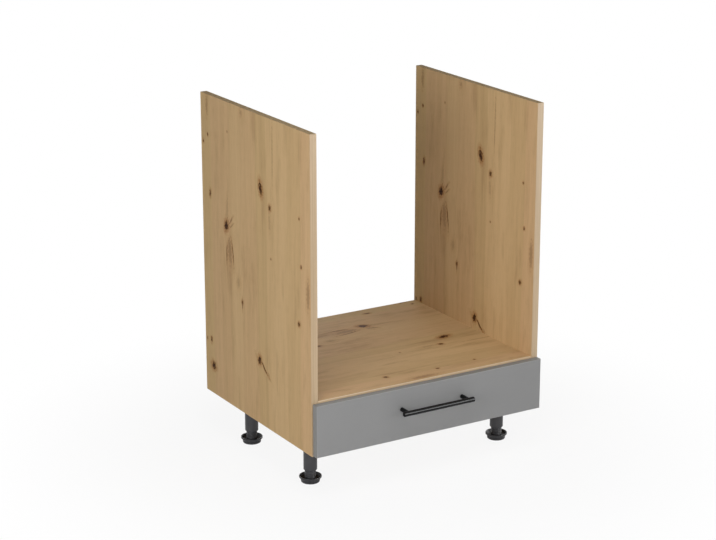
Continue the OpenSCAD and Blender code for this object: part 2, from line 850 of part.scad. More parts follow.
left_side_panel();
right_side_panel();
oven_deck();
bottom_panel();
back_panel();
left_edging();
right_edging();
deck_edging();
bottom_edging();
cam_locks();
cam_bolts();
wooden_dowels();
back_nails();
left_cabinet_rail();
right_cabinet_rail();
cabinet_rail_screws();
left_front_roller();
right_front_roller();
front_roller_rivets();
leg_plates();
leg_screws();
leg_tubes();
front_left_stem();
front_right_stem();
rear_left_stem();
rear_right_stem();
front_left_foot();
front_right_foot();
rear_left_foot();
rear_right_foot();
drawer_front();
drawer_left_side();
drawer_right_side();
drawer_back();
drawer_bottom();
left_drawer_rail();
right_drawer_rail();
drawer_rail_screws();
left_rear_roller();
right_rear_roller();
rear_roller_rivets();
drawer_cam_locks();
drawer_cam_bolts();
drawer_dowels();
drawer_back_screws();
front_buffers();
handle_bar();
left_handle_post();
right_handle_post();
handle_screws();
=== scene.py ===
# %% [markdown]
# # An oven base cabinet
#
# The cabinet stands in a fitted kitchen and carries a built-under oven. Two oak-faced sides hold a
# deck, and a shallow drawer with a grey front runs under the deck. The construction model already
# holds every piece at its real size. This lesson dresses it: it sets up the camera and the light,
# builds each finish from nodes, and models the pieces whose shape needs more than the construction
# model shows, such as screws with a cross in the head and the thread of the legs.

# %% Load the construction model
import json
import math
import bmesh
import bpy
from mathutils import Matrix, Vector


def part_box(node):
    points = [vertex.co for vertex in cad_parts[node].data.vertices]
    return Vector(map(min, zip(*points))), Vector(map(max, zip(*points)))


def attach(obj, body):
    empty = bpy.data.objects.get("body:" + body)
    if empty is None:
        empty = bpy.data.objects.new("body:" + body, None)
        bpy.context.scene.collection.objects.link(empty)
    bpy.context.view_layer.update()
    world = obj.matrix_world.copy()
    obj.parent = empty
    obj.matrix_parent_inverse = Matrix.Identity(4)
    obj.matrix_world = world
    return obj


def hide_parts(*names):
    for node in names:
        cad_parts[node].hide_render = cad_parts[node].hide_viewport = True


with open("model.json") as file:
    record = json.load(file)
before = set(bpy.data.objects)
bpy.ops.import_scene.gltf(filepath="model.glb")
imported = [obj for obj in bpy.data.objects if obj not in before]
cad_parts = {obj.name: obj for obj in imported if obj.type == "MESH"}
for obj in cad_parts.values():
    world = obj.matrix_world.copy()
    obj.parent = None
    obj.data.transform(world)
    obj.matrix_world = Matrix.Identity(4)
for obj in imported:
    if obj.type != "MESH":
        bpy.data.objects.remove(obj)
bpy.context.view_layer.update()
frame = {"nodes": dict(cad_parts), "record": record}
nodes = frame["nodes"]

# %% [markdown]
# ## The camera
#
# The photograph was taken from the front left and a little above, with a long lens, so the cabinet
# shows hardly any perspective. The place and the turn of the camera were worked out from the
# corners of the boards, which is surer than moving it by eye until it seems right. A camera looks
# along its own -Z, so a turn of 90 degrees about X levels it, and the pitch is taken off that.

# %% Camera
CAMERA_PLACE = (-2.3363, -3.7835, 1.7861)
CAMERA_YAW = 31.17
CAMERA_PITCH = 17.08
LENS = 101.85

camera = bpy.data.objects.new("camera", bpy.data.cameras.new("camera"))
bpy.context.scene.collection.objects.link(camera)
bpy.context.scene.camera = camera
camera.location = CAMERA_PLACE
camera.rotation_euler = [math.radians(a) for a in (90 - CAMERA_PITCH, 0, -CAMERA_YAW)]
camera.data.lens = LENS
camera.data.clip_end = 50
bpy.context.scene.view_settings.view_transform = "Standard"
print("camera", [round(c, 2) for c in camera.location], "lens", LENS)

# %% [markdown]
# ## Lamps
#
# The photograph has soft light. The outer face of the left side and the inner face of the right
# one both darken from front to back, so the main lamp stands on the left, level with the front
# edges, and the left side shades the depth of the niche. Two weak lamps in front light the drawer
# front, and two above give the deck its softer tone. The last two stand where the camera hardly
# sees their light, and are there for the views from the right and the back. Large discs are used
# rather than points or a sun, because only a wide source gives shadows with such soft edges.
#
# A round black bar shows a thin bright line where it mirrors a lamp, and the photograph has that
# line on the handle. For the camera on the left, the bar's middle mirrors what stands as far to
# the right, so a card of light is set there that only mirroring surfaces see.

# %% Lamps
def lamp(name, place, target, size, power):
    """A round lamp that looks from its place at the target."""
    data = bpy.data.lights.new(name, "AREA")
    data.shape = "DISK"
    data.size = size
    data.energy = power
    piece = bpy.data.objects.new(name, data)
    bpy.context.scene.collection.objects.link(piece)
    piece.location = place
    piece.rotation_euler = (Vector(target) - Vector(place)).to_track_quat("-Z", "Y").to_euler()
    return piece


LAMPS = {
    # name: place, aimed at, size, power
    "left": ((-2.2, -1.2, 0.84), (0.0, -0.1, 0.43), 1.1, 23),
    "low front": ((-1.0, -2.4, 0.4), (0.1, -0.1, 0.35), 0.8, 6),
    "front right": ((1.6, -2.6, 0.9), (0.0, -0.1, 0.3), 1.2, 7),
    "above left": ((-0.7, -1.0, 2.6), (0.0, 0.0, 0.4), 1.2, 21),
    "above right": ((0.9, -1.6, 2.6), (0.0, 0.0, 0.4), 1.6, 8),
    "right": ((2.6, -0.2, 0.9), (0.0, 0.0, 0.4), 1.6, 22),
    "back": ((1.2, 2.8, 0.34), (0.0, 0.0, 0.34), 0.6, 19),
}
for name, (place, target, size, power) in LAMPS.items():
    lamp("lamp " + name, place, target, size, power)
gloss_card = lamp("gloss card", (1.65, -2.9, 1.12), (0.0, -0.27, 0.17), 1.4, 75)
gloss_card.visible_diffuse = False
print(len(LAMPS), "lamps and a card for the bright line on the bar")

# %% [markdown]
# ## Small helpers for nodes
#
# The world, the floor and every finish below are trees of nodes. Written out in full, each node
# takes several lines, so one helper makes a node, sets it up and links it in one go. A value that
# is a socket gets linked, and any other value is set on the socket itself.

# %% Making and linking nodes
def feed(tree, sockets, values):
    """Links each value that is a socket, and sets any other value on the socket itself."""
    for name, value in values.items():
        if isinstance(value, bpy.types.NodeSocket):
            tree.links.new(value, sockets[name])
        else:
            sockets[name].default_value = value


def add(tree, kind, values=None, **settings):
    """A new node: the values go to its sockets, the settings to the node itself."""
    node = tree.nodes.new(kind)
    for name, value in settings.items():
        setattr(node, name, value)
    feed(tree, node.inputs, values or {})
    return node


def calc(tree, operation, *values, clamp=False):
    """One step of arithmetic with numbers."""
    return add(tree, "ShaderNodeMath", dict(enumerate(values)), operation=operation,
               use_clamp=clamp).outputs[0]


def vector(tree, operation, *values):
    """One step of arithmetic with vectors."""
    node = add(tree, "ShaderNodeVectorMath", dict(enumerate(values)), operation=operation)
    return node.outputs[1 if operation == "LENGTH" else 0]


def fade(tree, value, start, end, low=0.0, high=1.0):
    """Goes smoothly from low to high while the value goes from start to end."""
    return add(tree, "ShaderNodeMapRange", {0: value, 1: start, 2: end, 3: low, 4: high},
               interpolation_type="SMOOTHSTEP").outputs[0]


print("helpers for nodes ready")

# %% [markdown]
# ## The white ground
#
# The photograph's ground is plain white. A bright world would give that, but it would also flood
# the niche with light from all around. So the world is white only for rays from the camera and
# for mirrored ones, and as a light it is faint.

# %% World
WORLD_LIGHT = 0.05


def looking_rays(tree):
    """1 for rays from the camera and for mirrored or refracted ones, 0 for all others."""
    rays = add(tree, "ShaderNodeLightPath").outputs
    return calc(tree, "MAXIMUM", rays["Is Camera Ray"],
                calc(tree, "MAXIMUM", rays["Is Glossy Ray"], rays["Is Transmission Ray"]))


world = bpy.data.worlds.new("white ground")
bpy.context.scene.world = world
world.use_nodes = True
tree = world.node_tree
tree.nodes.clear()
strength = fade(tree, looking_rays(tree), 0, 1, WORLD_LIGHT, 1.0)
ground = add(tree, "ShaderNodeBackground", {"Color": (1, 1, 1, 1), "Strength": strength})
add(tree, "ShaderNodeOutputWorld", {"Surface": ground.outputs[0]})
print("white world, as a light", WORLD_LIGHT)

# %% [markdown]
# The floor catches the shadow, but the camera looks mostly through it at the white world. So the
# two join without an edge, and a foot that is screwed out below the floor stays in sight. Under
# the cabinet a tenth of the floor shows, which is enough for a soft shadow, and from there it
# fades out.

# %% Floor
FLOOR_SIZE = 40
FLOOR_WHITE = (0.8, 0.8, 0.8, 1)
SHADOW_NEAR = 0.35
SHADOW_FAR = 1.0
CLEAR_BELOW = 0.90

bpy.ops.mesh.primitive_plane_add(size=FLOOR_SIZE)
floor = bpy.context.object
floor.name = "floor"
paper = bpy.data.materials.new("pale floor")
paper.use_nodes = True
tree = paper.node_tree
tree.nodes.clear()
lit = add(tree, "ShaderNodeBsdfDiffuse", {"Color": FLOOR_WHITE})
clear = add(tree, "ShaderNodeBsdfTransparent")
away = vector(tree, "LENGTH", add(tree, "ShaderNodeTexCoord").outputs["Object"])
share = calc(tree, "MULTIPLY", looking_rays(tree),
             fade(tree, away, SHADOW_NEAR, SHADOW_FAR, CLEAR_BELOW, 1.0))
both = add(tree, "ShaderNodeMixShader", {0: share, 1: lit.outputs[0], 2: clear.outputs[0]})
add(tree, "ShaderNodeOutputMaterial", {"Surface": both.outputs[0]})
floor.data.materials.append(paper)
print("floor", FLOOR_SIZE, "m wide")

# %% [markdown]
# ## Helpers for finishes
#
# Colours are written as they look on a screen and are turned into the linear numbers that the
# renderer works with. The same few steps then serve every finish: a ramp of colours, a mix of two,
# a noise for whatever is uneven, and sums of such values.

# %% Colours and noise
def screen(*rgb):
    """A colour as it looks on a screen, from 0 to 255."""
    return [((c / 255 + 0.055) / 1.055) ** 2.4 for c in rgb] + [1]


def ramp(tree, value, *stops):
    """A colour that changes with the value, through stops of (value, colour)."""
    node = add(tree, "ShaderNodeValToRGB", {0: value})
    elements = node.color_ramp.elements
    while len(elements) < len(stops):
        elements.new(0.5)
    for element, (place, colour) in zip(elements, stops):
        element.position = place
        element.color = colour
    return node.outputs[0]


def mix(tree, share, first, second, blend="MIX"):
    """The first colour where the share is 0, the second where it is 1."""
    node = add(tree, "ShaderNodeMix", {0: share, 6: first, 7: second}, data_type="RGBA",
               blend_type=blend)
    return node.outputs[2]


def noise(tree, place, scale, detail=2.0, roughness=0.5):
    """Clouds of values from 0 to 1, scale of them per metre."""
    return add(tree, "ShaderNodeTexNoise", {"Vector": place, "Scale": scale, "Detail": detail,
                                            "Roughness": roughness}).outputs["Fac"]


def weighted(tree, *pairs, start=0.0):
    """The sum of some values, each times its share."""
    total = start
    for value, share in reversed(pairs):
        total = calc(tree, "MULTIPLY_ADD", value, share, total)
    return total


def about(tree, value, middle, spread):
    """Turns a value from 0 to 1 into one about a middle, half the spread to either side."""
    return calc(tree, "MULTIPLY_ADD", value, spread, middle - spread / 2)


print("a screen value of 128 is", round(screen(128)[0], 3), "to the renderer")

# %% [markdown]
# ## The oak print
#
# The boards are chipboard with a printed paper pressed on. The print shows knotty oak: straight
# grain in strips of slightly different tone, and dark knots that the grain flows around. The sides
# and the deck are cut from the same print, which is why the same knots come back on each of them.
# So there is one pattern, laid out on a sheet with one axis across the grain and one along it, and
# each board reads its own piece of that sheet. A picture of oak wrapped on the boards would be
# quicker, but it blurs from close by. Nodes stay sharp, and each part of the pattern can be set.
#
# A knot is an ellipse with a place, a size, a turn and a depth of colour. One small group of nodes
# draws a knot, and it also pulls the grain's coordinates towards the knot's middle, so that lines
# of equal value bend around it. All its reaches are counted in half sizes of the knot: the dark
# core ends near 1, the brown halo near 2, and the grain is bent out to about 4.
#
# The group is used once for each knot, and each knot measures from the coordinates that the one
# before it has bent. So the renderer works them one after another, which keeps its stack small,
# and the grain flows around neighbouring knots in one sweep.

# %% One knot
def group(name, inputs, outputs, kind="ShaderNodeTree"):
    """A new group of nodes, with the sockets that it is given and those that it hands out."""
    tree = bpy.data.node_groups.new(name, kind)
    for sockets, direction in ((inputs, "INPUT"), (outputs, "OUTPUT")):
        for label, socket in sockets.items():
            tree.interface.new_socket(label, in_out=direction, socket_type="NodeSocket" + socket)
    return tree, tree.nodes.new("NodeGroupInput").outputs, tree.nodes.new("NodeGroupOutput").inputs


# where the core and the halo begin, coming from outside, and where they have their full tone
CORE_EDGE = (1.15, 0.70)
HALO_EDGE = (2.4, 0.9)
# how far out the grain is bent, and by how much at the middle
PULL_REACH = 4.2
PULL = -0.85

knot, given, result = group(
    "knot",
    {"Grain": "Vector", "Core": "Float", "Halo": "Float", "Wobble": "Float",
     "Middle": "Vector", "Turn": "Float", "Stretch": "Vector", "Depth": "Float"},
    {"Grain": "Vector", "Core": "Float", "Halo": "Float"})
offset = vector(knot, "SUBTRACT", given["Grain"], given["Middle"])
turned = add(knot, "ShaderNodeVectorRotate", {"Vector": offset, "Angle": given["Turn"]},
             rotation_type="Z_AXIS").outputs[0]
reach = vector(knot, "LENGTH", vector(knot, "MULTIPLY", turned, given["Stretch"]))
rough_reach = calc(knot, "ADD", reach, given["Wobble"])
core = calc(knot, "MULTIPLY", fade(knot, rough_reach, *CORE_EDGE), given["Depth"])
halo = calc(knot, "MULTIPLY", fade(knot, rough_reach, *HALO_EDGE), given["Depth"])
pull = calc(knot, "MULTIPLY", fade(knot, reach, PULL_REACH, 0.0), PULL)
sideways = add(knot, "ShaderNodeSeparateXYZ", {0: offset}).outputs["X"]
shift = add(knot, "ShaderNodeCombineXYZ", {"X": calc(knot, "MULTIPLY", sideways, pull)}).outputs[0]
feed(knot, result, {
    "Grain": vector(knot, "ADD", given["Grain"], shift),
    "Core": calc(knot, "MAXIMUM", given["Core"], core),
    "Halo": calc(knot, "MAXIMUM", given["Halo"], halo)})
print("knot group:", len(knot.nodes), "nodes")

# %% [markdown]
# The knots of the sheet are listed: how far across and along the sheet each one lies in
# metres, its half width and half length, its turn in degrees and how dark it is. Long thin ones
# are cracks, and wide faint ones are the feathery marks where a knot lies just under the surface.

# %% The knots of the sheet
KNOTS = [
    # across, along, half width, half length, turn, depth
    (0.219, 0.555, 0.0070, 0.0145, 14, 1.00),
    (0.178, 0.520, 0.0048, 0.0062, 0, 0.85),
    (0.384, 0.431, 0.0080, 0.0120, -20, 1.00),
    (0.367, 0.447, 0.0022, 0.0140, -52, 0.50),
    (0.363, 0.436, 0.0018, 0.0120, -62, 0.35),
    (0.369, 0.374, 0.0090, 0.0300, 4, 0.28),
    (0.362, 0.372, 0.0016, 0.0270, 7, 0.66),
    (0.376, 0.366, 0.0016, 0.0200, -6, 0.66),
    (0.378, 0.472, 0.0040, 0.0260, -3, 0.17),
    (0.180, 0.488, 0.0040, 0.0210, 2, 0.17),
    (0.461, 0.490, 0.0036, 0.0078, -8, 0.80),
    (0.048, 0.527, 0.0024, 0.0030, 0, 0.75),
    (0.041, 0.421, 0.0030, 0.0038, 0, 0.85),
    (0.052, 0.290, 0.0042, 0.0050, -30, 0.85),
    (0.312, 0.268, 0.0036, 0.0044, 0, 0.80),
    (0.312, 0.261, 0.0014, 0.0110, 0, 0.50),
    (0.233, 0.153, 0.0070, 0.0092, -10, 0.98),
    (0.215, 0.140, 0.0024, 0.0200, 56, 0.85),
    (0.196, 0.131, 0.0030, 0.0030, 0, 0.35),
    (0.461, 0.070, 0.0092, 0.0085, -25, 0.98),
    (0.470, 0.133, 0.0038, 0.0065, 0, 0.80),
    (0.491, 0.130, 0.0020, 0.0040, 0, 0.70),
    (0.175, 0.405, 0.0022, 0.0024, 0, 0.55),
    (0.372, 0.652, 0.0018, 0.0024, 0, 0.50),
    (0.468, 0.627, 0.0028, 0.0036, 0, 0.80),
    (0.490, 0.607, 0.0028, 0.0036, 0, 0.80),
    (0.470, 0.695, 0.0050, 0.0220, 0, 0.28),
    (0.306, 0.708, 0.0060, 0.0080, 0, 0.22),
    (0.012, 0.365, 0.0060, 0.0300, 0, 0.30),
    (0.330, 0.310, 0.0080, 0.0130, 0, 0.15),
    (0.164, 0.645, 0.0016, 0.0600, -1, 0.28),
]
print(len(KNOTS), "knots, cracks and marks")

# %% [markdown]
# A noise makes the knots' outlines ragged. It is worked once and handed to each of them, because a
# noise for each knot would slow the renderer down and wouldn't look any better.

# %% Knots one after another
# features of that noise per metre, across the sheet and along it, and its depth in half sizes
RAGGED = (300, 170, 1)
RAGGED_DEPTH = 4.0

sheet, given, result = group("oak print", {"Place": "Vector", "Clouds": "Float"},
                             {"Color": "Color", "Height": "Float", "Roughness": "Float"})
ragged = noise(sheet, vector(sheet, "MULTIPLY", given["Place"], RAGGED), 1, detail=5,
               roughness=0.72)
wobble = about(sheet, ragged, 0.0, RAGGED_DEPTH)
grain, core, halo = given["Place"], 0.0, 0.0
for across, along, half_w, half_l, turn, depth in KNOTS:
    drawn = add(sheet, "ShaderNodeGroup", {
        "Grain": grain, "Core": core, "Halo": halo, "Wobble": wobble, "Middle": (across, along, 0),
        "Turn": math.radians(turn), "Stretch": (1 / half_w, 1 / half_l, 0), "Depth": depth},
        node_tree=knot)
    grain, core, halo = (drawn.outputs[label] for label in ("Grain", "Core", "Halo"))
print("sheet with", len(sheet.nodes), "nodes so far")

# %% [markdown]
# The grain is a sum of noises, each stretched along the grain and read where the knots have bent
# it: broad streaks, fine lines, the short dark pores of oak, and long soft clouds of a warmer
# brown. The strips that the print imitates are cells of a one-dimensional Voronoi pattern, whose
# random colour gives each strip its own tone. A slow drift keeps their borders from being straight.

# %% Strips and grain
# how many features each noise has per metre, across the grain and along it
DRIFT = (6, 1.4)
STREAKS = (54, 1.6)
CLOUDS = (34, 4.6)
LINES = (420, 10)
PORES = (1500, 34)
CRACKS = (900, 260)
STRIPS_PER_METRE = 20
DRIFT_WIDTH = 0.03


def along_grain(features, detail, roughness=0.5):
    """A noise that is stretched along the grain and bent with it."""
    return noise(sheet, vector(sheet, "MULTIPLY", grain, (*features, 1)), 1, detail, roughness)


drift = about(sheet, along_grain(DRIFT, detail=2), 0.0, DRIFT_WIDTH)
across = calc(sheet, "ADD", add(sheet, "ShaderNodeSeparateXYZ", {0: grain}).outputs["X"], drift)
strip = add(sheet, "ShaderNodeTexVoronoi",
            {"W": across, "Scale": STRIPS_PER_METRE, "Randomness": 1.0}, voronoi_dimensions="1D")
tone = add(sheet, "ShaderNodeSeparateColor", {0: strip.outputs["Color"]}).outputs
streaks = along_grain(STREAKS, detail=5, roughness=0.62)
lines = along_grain(LINES, detail=4, roughness=0.62)
clouds = weighted(sheet, (lines, 0.5), start=along_grain(CLOUDS, detail=5, roughness=0.66))
pores = fade(sheet, along_grain(PORES, detail=2), 0.58, 0.72)
cracks = fade(sheet, along_grain(CRACKS, detail=3, roughness=0.6), 0.62, 0.42)
print("sheet with", len(sheet.nodes), "nodes so far")

# %% [markdown]
# The colour is laid on in the order in which the print shows it: the wood's own tone, a slight
# shift of hue from strip to strip, then clouds, pores, the knots' halos, and last their dark
# cores. The print is pressed into shallow pores, so the pattern also gives height and gloss.

# %% Colour, relief and gloss of the print
OAK_LIGHT = screen(221, 189, 149)
OAK_MIDDLE = screen(211, 178, 137)
OAK_DARK = screen(191, 157, 118)
OAK_WARM = screen(166, 131, 91)
OAK_PORE = screen(150, 116, 78)
STRIP_PINK = screen(255, 252, 248)
STRIP_GREEN = screen(251, 255, 242)
KNOT_HALO = screen(160, 98, 42)
KNOT_CORE = screen(84, 50, 22)
KNOT_CRACK = screen(44, 25, 12)

value = weighted(sheet, (tone["Red"], 0.16), (streaks, 0.60), (lines, 0.42), start=-0.12)
colour = ramp(sheet, value, (0.18, OAK_DARK), (0.50, OAK_MIDDLE), (0.82, OAK_LIGHT))
hue = mix(sheet, tone["Green"], STRIP_PINK, STRIP_GREEN)
colour = mix(sheet, 1.0, colour, hue, "MULTIPLY")
cloud_share = calc(sheet, "MULTIPLY", fade(sheet, clouds, 0.74, 1.02), given["Clouds"])
colour = mix(sheet, cloud_share, colour, OAK_WARM)
colour = mix(sheet, calc(sheet, "MULTIPLY", pores, 0.30), colour, OAK_PORE)
colour = mix(sheet, calc(sheet, "MULTIPLY", halo, 0.60), colour, KNOT_HALO)
dark = mix(sheet, cracks, KNOT_CORE, KNOT_CRACK)
colour = mix(sheet, core, colour, dark)
height = weighted(sheet, (lines, 0.5), (pores, -0.6), (core, -0.4))
roughness = about(sheet, streaks, 0.52, 0.16)
feed(sheet, result, {"Color": colour, "Height": height, "Roughness": roughness})
print("oak print:", len(sheet.nodes), "nodes")

# %% [markdown]
# ## Starting a finish
#
# Every finish starts from the same shader, which takes a colour, a roughness and a relief. The
# third helper tells a board's broad faces from its narrow edges by the way a face looks, so one
# finish can serve both and a board needs no cuts between them.

# %% Shader, relief and broad faces
# a face looks along an axis when its normal's part along that axis is above this
FACING = 0.7


def finish(name, metallic=0.0):
    """A new material, its tree of nodes and its shader."""
    material = bpy.data.materials.new(name)
    material.use_nodes = True
    tree = material.node_tree
    shader = tree.nodes["Principled BSDF"]
    shader.inputs["Metallic"].default_value = metallic
    return material, tree, shader


def bump(tree, shader, height, strength, distance):
    """A relief that is distance metres deep, of which strength is the share that shows."""
    relief = add(tree, "ShaderNodeBump", {"Height": height, "Strength": strength,
                                          "Distance": distance})
    feed(tree, shader.inputs, {"Normal": relief.outputs[0]})


def broad_face(tree, normal_part):
    """1 on faces that look along an axis, given the normal's part along that axis."""
    return calc(tree, "GREATER_THAN", calc(tree, "ABSOLUTE", normal_part), FACING)


print("a broad face is one whose normal is above", FACING, "along the board's thickness")

# %% [markdown]
# ## Raw edges
#
# Where a board isn't covered, its sawn edge shows pressed wood chips. They are cells of a Voronoi
# pattern a millimetre or two wide, each with its own tone, under a fine dust of noise. A noise on
# its own would give soft clouds, where chips have hard borders.

# %% Chipboard edge
CHIP_LIGHT = screen(196, 174, 140)
CHIP_MIDDLE = screen(174, 151, 117)
CHIP_DARK = screen(138, 115, 84)
CHIPS_PER_METRE = 620
DUST_PER_METRE = 2400


def chipboard(tree, place):
    """The colour of pressed chips at a place."""
    chips = add(tree, "ShaderNodeTexVoronoi",
                {"Vector": place, "Scale": CHIPS_PER_METRE, "Randomness": 1.0})
    tint = add(tree, "ShaderNodeSeparateColor", {0: chips.outputs["Color"]}).outputs["Red"]
    dust = noise(tree, place, DUST_PER_METRE, detail=3)
    value = weighted(tree, (tint, 0.7), (dust, 0.4))
    return ramp(tree, value, (0.1, CHIP_DARK), (0.55, CHIP_MIDDLE), (1.0, CHIP_LIGHT))


print("chipboard ready")

# %% [markdown]
# ## Boards with the print
#
# A board shows the print on its two broad faces only. The sawn edges show the chipboard under it,
# because only the front edges are covered with a strip. The material asks for the face's own
# direction: a face that looks along the board's thickness is printed, any other is raw. The print
# of the inner and outer face must differ, or the knots would seem to go right through the board,
# so the sheet is turned over for one of them. The deck shows more of the brown clouds than the
# sides do, and a painted highlight: a pale line along its front edge, where the strip is milled
# flush and its rounded edge catches the light.

# %% A printed board
# the sheet's size across and along, by which it is turned over
SHEET_WIDE = 0.5
SHEET_LONG = 0.78
PRINT_GLOSS = 0.03
RAW_ROUGHNESS = 0.85
# painted highlight: the pale line where the milled edge of the deck's front strip catches the light
BEVEL_HIGHLIGHT = screen(250, 234, 206)
# the painted highlight has its full tone up to this share of its width
BEVEL_HIGHLIGHT_FULL = 0.6

front_edge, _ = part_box("left_edging")


def printed_board(name, face_axis, across, along, start, clouds, bevel_highlight=0.0):
    """A board printed on the faces that look along face_axis. across and along name the axes of
    the print on the board, and start is where the sheet's corner lies on those two axes. The last
    argument is the width of a painted highlight: a pale line along the front edge, where the
    strip's milled edge catches the light, if there is one."""
    material, tree, shader = finish(name)
    source = add(tree, "ShaderNodeTexCoord")
    place = add(tree, "ShaderNodeSeparateXYZ", {0: source.outputs["Object"]}).outputs
    facing = add(tree, "ShaderNodeSeparateXYZ", {0: source.outputs["Normal"]}).outputs[face_axis]
    on_sheet = add(tree, "ShaderNodeCombineXYZ", {
        "X": calc(tree, "SUBTRACT", place[across], start[0]),
        "Y": calc(tree, "SUBTRACT", place[along], start[1])}).outputs[0]
    turned_over = vector(tree, "SUBTRACT", (SHEET_WIDE, SHEET_LONG, 0), on_sheet)
    compare = "LESS_THAN" if face_axis == "X" else "GREATER_THAN"
    front_print = calc(tree, compare, facing, 0.0)
    at = add(tree, "ShaderNodeMix", {0: front_print, 4: turned_over, 5: on_sheet},
             data_type="VECTOR").outputs[1]
    oak = add(tree, "ShaderNodeGroup", {"Place": at, "Clouds": clouds}, node_tree=sheet).outputs
    raw = chipboard(tree, source.outputs["Object"])
    flat = broad_face(tree, facing)
    printed = oak["Color"]
    # painted highlight: a pale line along the front edge
    if bevel_highlight:
        on_bevel_highlight = fade(tree, place["Y"], front_edge.y + bevel_highlight, front_edge.y + BEVEL_HIGHLIGHT_FULL * bevel_highlight)
        printed = mix(tree, on_bevel_highlight, printed, BEVEL_HIGHLIGHT)
    smoother = calc(tree, "SUBTRACT", oak["Roughness"], RAW_ROUGHNESS)
    feed(tree, shader.inputs, {
        "Base Color": mix(tree, flat, raw, printed),
        "Roughness": calc(tree, "MULTIPLY_ADD", flat, smoother, RAW_ROUGHNESS),
        "Specular IOR Level": PRINT_GLOSS})
    bump(tree, shader, oak["Height"], strength=0.35, distance=0.0004)
    return material


print("front edge at y =", round(front_edge.y, 4))

# %% [markdown]
# The upright boards read the sheet from their lower front corner. The deck and the bottom are cut
# from another place of it, so their knots don't stand beside the same knots of the sides.

# %% Upright and level boards
SIDE_CLOUDS = 0.50
DECK_CLOUDS = 0.78
# width of the painted highlight along the deck's front edge
BEVEL_HIGHLIGHT_WIDTH = 0.0045
# on the deck, the sheet's corner lies this far behind the front edge and left of the cabinet
DECK_BACK = 0.004
DECK_ASIDE = 0.066

sides_low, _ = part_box("left_side_panel")
sheet_corner = (front_edge.y, sides_low.z)
deck_corner = (front_edge.y + DECK_BACK, sides_low.x - DECK_ASIDE)
oak_side = printed_board("oak board, upright", "X", "Y", "Z", sheet_corner, SIDE_CLOUDS)
oak_level = printed_board("oak board, level", "Z", "Y", "X", deck_corner, DECK_CLOUDS, BEVEL_HIGHLIGHT_WIDTH)
print("sheet corner at y, z =", [round(c, 4) for c in sheet_corner])

# %% [markdown]
# ## Strips on the front edges
#
# The strips are thin plastic with a paler print that has grain but no knots. A strip is cut from a
# long roll, so its lines run along it whichever way the board's own grain goes. That is why they
# don't read the sheet, but have lines and patches of their own.

# %% Edging
EDGING_STOPS = ((0.30, (184, 156, 119)), (0.52, (209, 182, 146)), (0.72, (222, 196, 161)))
# lines per metre, across the strip and along it, and how many lines a patch is wide and long
EDGING_ACROSS = 420
EDGING_ALONG = 2.5
PATCH_LINES = 14


def edging(name, along, light=1.0):
    """A strip whose lines run along the named axis. light scales its colours, and above 1 it paints a
    highlight on the strip.
    """
    material, tree, shader = finish(name)
    place = add(tree, "ShaderNodeTexCoord").outputs["Object"]
    squeeze = [EDGING_ALONG if axis == along else EDGING_ACROSS for axis in "XYZ"]
    lines = noise(tree, vector(tree, "MULTIPLY", place, squeeze), 1, detail=5, roughness=0.6)
    wide = [c / PATCH_LINES for c in squeeze]
    patches = noise(tree, vector(tree, "MULTIPLY", place, wide), 1)
    value = weighted(tree, (patches, 0.5), (lines, 0.5))
    stops = [(at, screen(*[c * light for c in rgb])) for at, rgb in EDGING_STOPS]
    feed(tree, shader.inputs, {"Base Color": ramp(tree, value, *stops), "Roughness": 0.42})
    bump(tree, shader, lines, strength=0.2, distance=0.0002)
    return material


edging_upright = edging("oak edging, upright", "Z")
# the level strips on the deck and the bottom are painted 8 percent lighter, a painted highlight on
# their front edges
edging_level = edging("oak edging, level, painted highlight", "X", light=1.08)
print("two edging finishes")

# %% [markdown]
# ## The grey front and the white boards
#
# The drawer front is a board with a smooth, matt grey film. From close by such a film shows a fine
# orange peel and slightly uneven gloss, which keeps it from looking like flat paint. The front's
# narrow edges carry a strip of plastic, which is painted a little darker as shade, and it draws
# the front's outline.
# The white boards of the drawer and its bottom sheet have the same kind of film in other colours,
# and the soft buffers behind the front are smooth plastic too, so they share the function.

# %% Films
def darkened(colour, share):
    """The share of a colour's light."""
    return [c * share for c in colour[:3]] + [1]


def film(name, colour, roughness, peel, strip=None):
    """A smooth coloured film. With a strip, the faces that don't look along Y get its colour, which
    paints shade on the narrow edges.
    """
    material, tree, shader = finish(name)
    source = add(tree, "ShaderNodeTexCoord").outputs
    place = source["Object"]
    clouds = noise(tree, place, scale=9, detail=4, roughness=0.6)
    grit = noise(tree, place, scale=1700)
    value = weighted(tree, (clouds, 0.6), (grit, 0.4))
    base = mix(tree, fade(tree, value, 0.3, 0.7), darkened(colour, 0.955), colour)
    if strip:
        # painted shade: the faces that don't look along Y, the narrow edges, get the darker strip
        # colour
        facing = add(tree, "ShaderNodeSeparateXYZ", {0: source["Normal"]}).outputs["Y"]
        base = mix(tree, broad_face(tree, facing), strip, base)
    feed(tree, shader.inputs, {"Base Color": base, "Roughness": about(tree, clouds, roughness, 0.10)})
    bump(tree, shader, noise(tree, place, scale=520), strength=peel, distance=0.00008)
    return material


# the front's narrow edges get a darker grey as painted shade
grey_film = film("grey film", screen(148, 148, 148), roughness=0.5, peel=0.25,
                 strip=screen(128, 127, 124))
white_film = film("white film", screen(228, 226, 220), roughness=0.45, peel=0.2)
white_sheet = film("white faced sheet", screen(226, 225, 221), roughness=0.5, peel=0.2)
buffer_plastic = film("clear soft plastic", screen(206, 206, 200), roughness=0.3, peel=0.1)
print("four films")

# %% [markdown]
# The back panel and the dowels show bare fibres. They are a noise that is squeezed flat, with soft
# clouds over it. Modelled fibres would be finer than anything that a picture can show.

# %% Fibres
# fibres per metre, along X, Y and Z
FIBRES = (300, 300, 900)


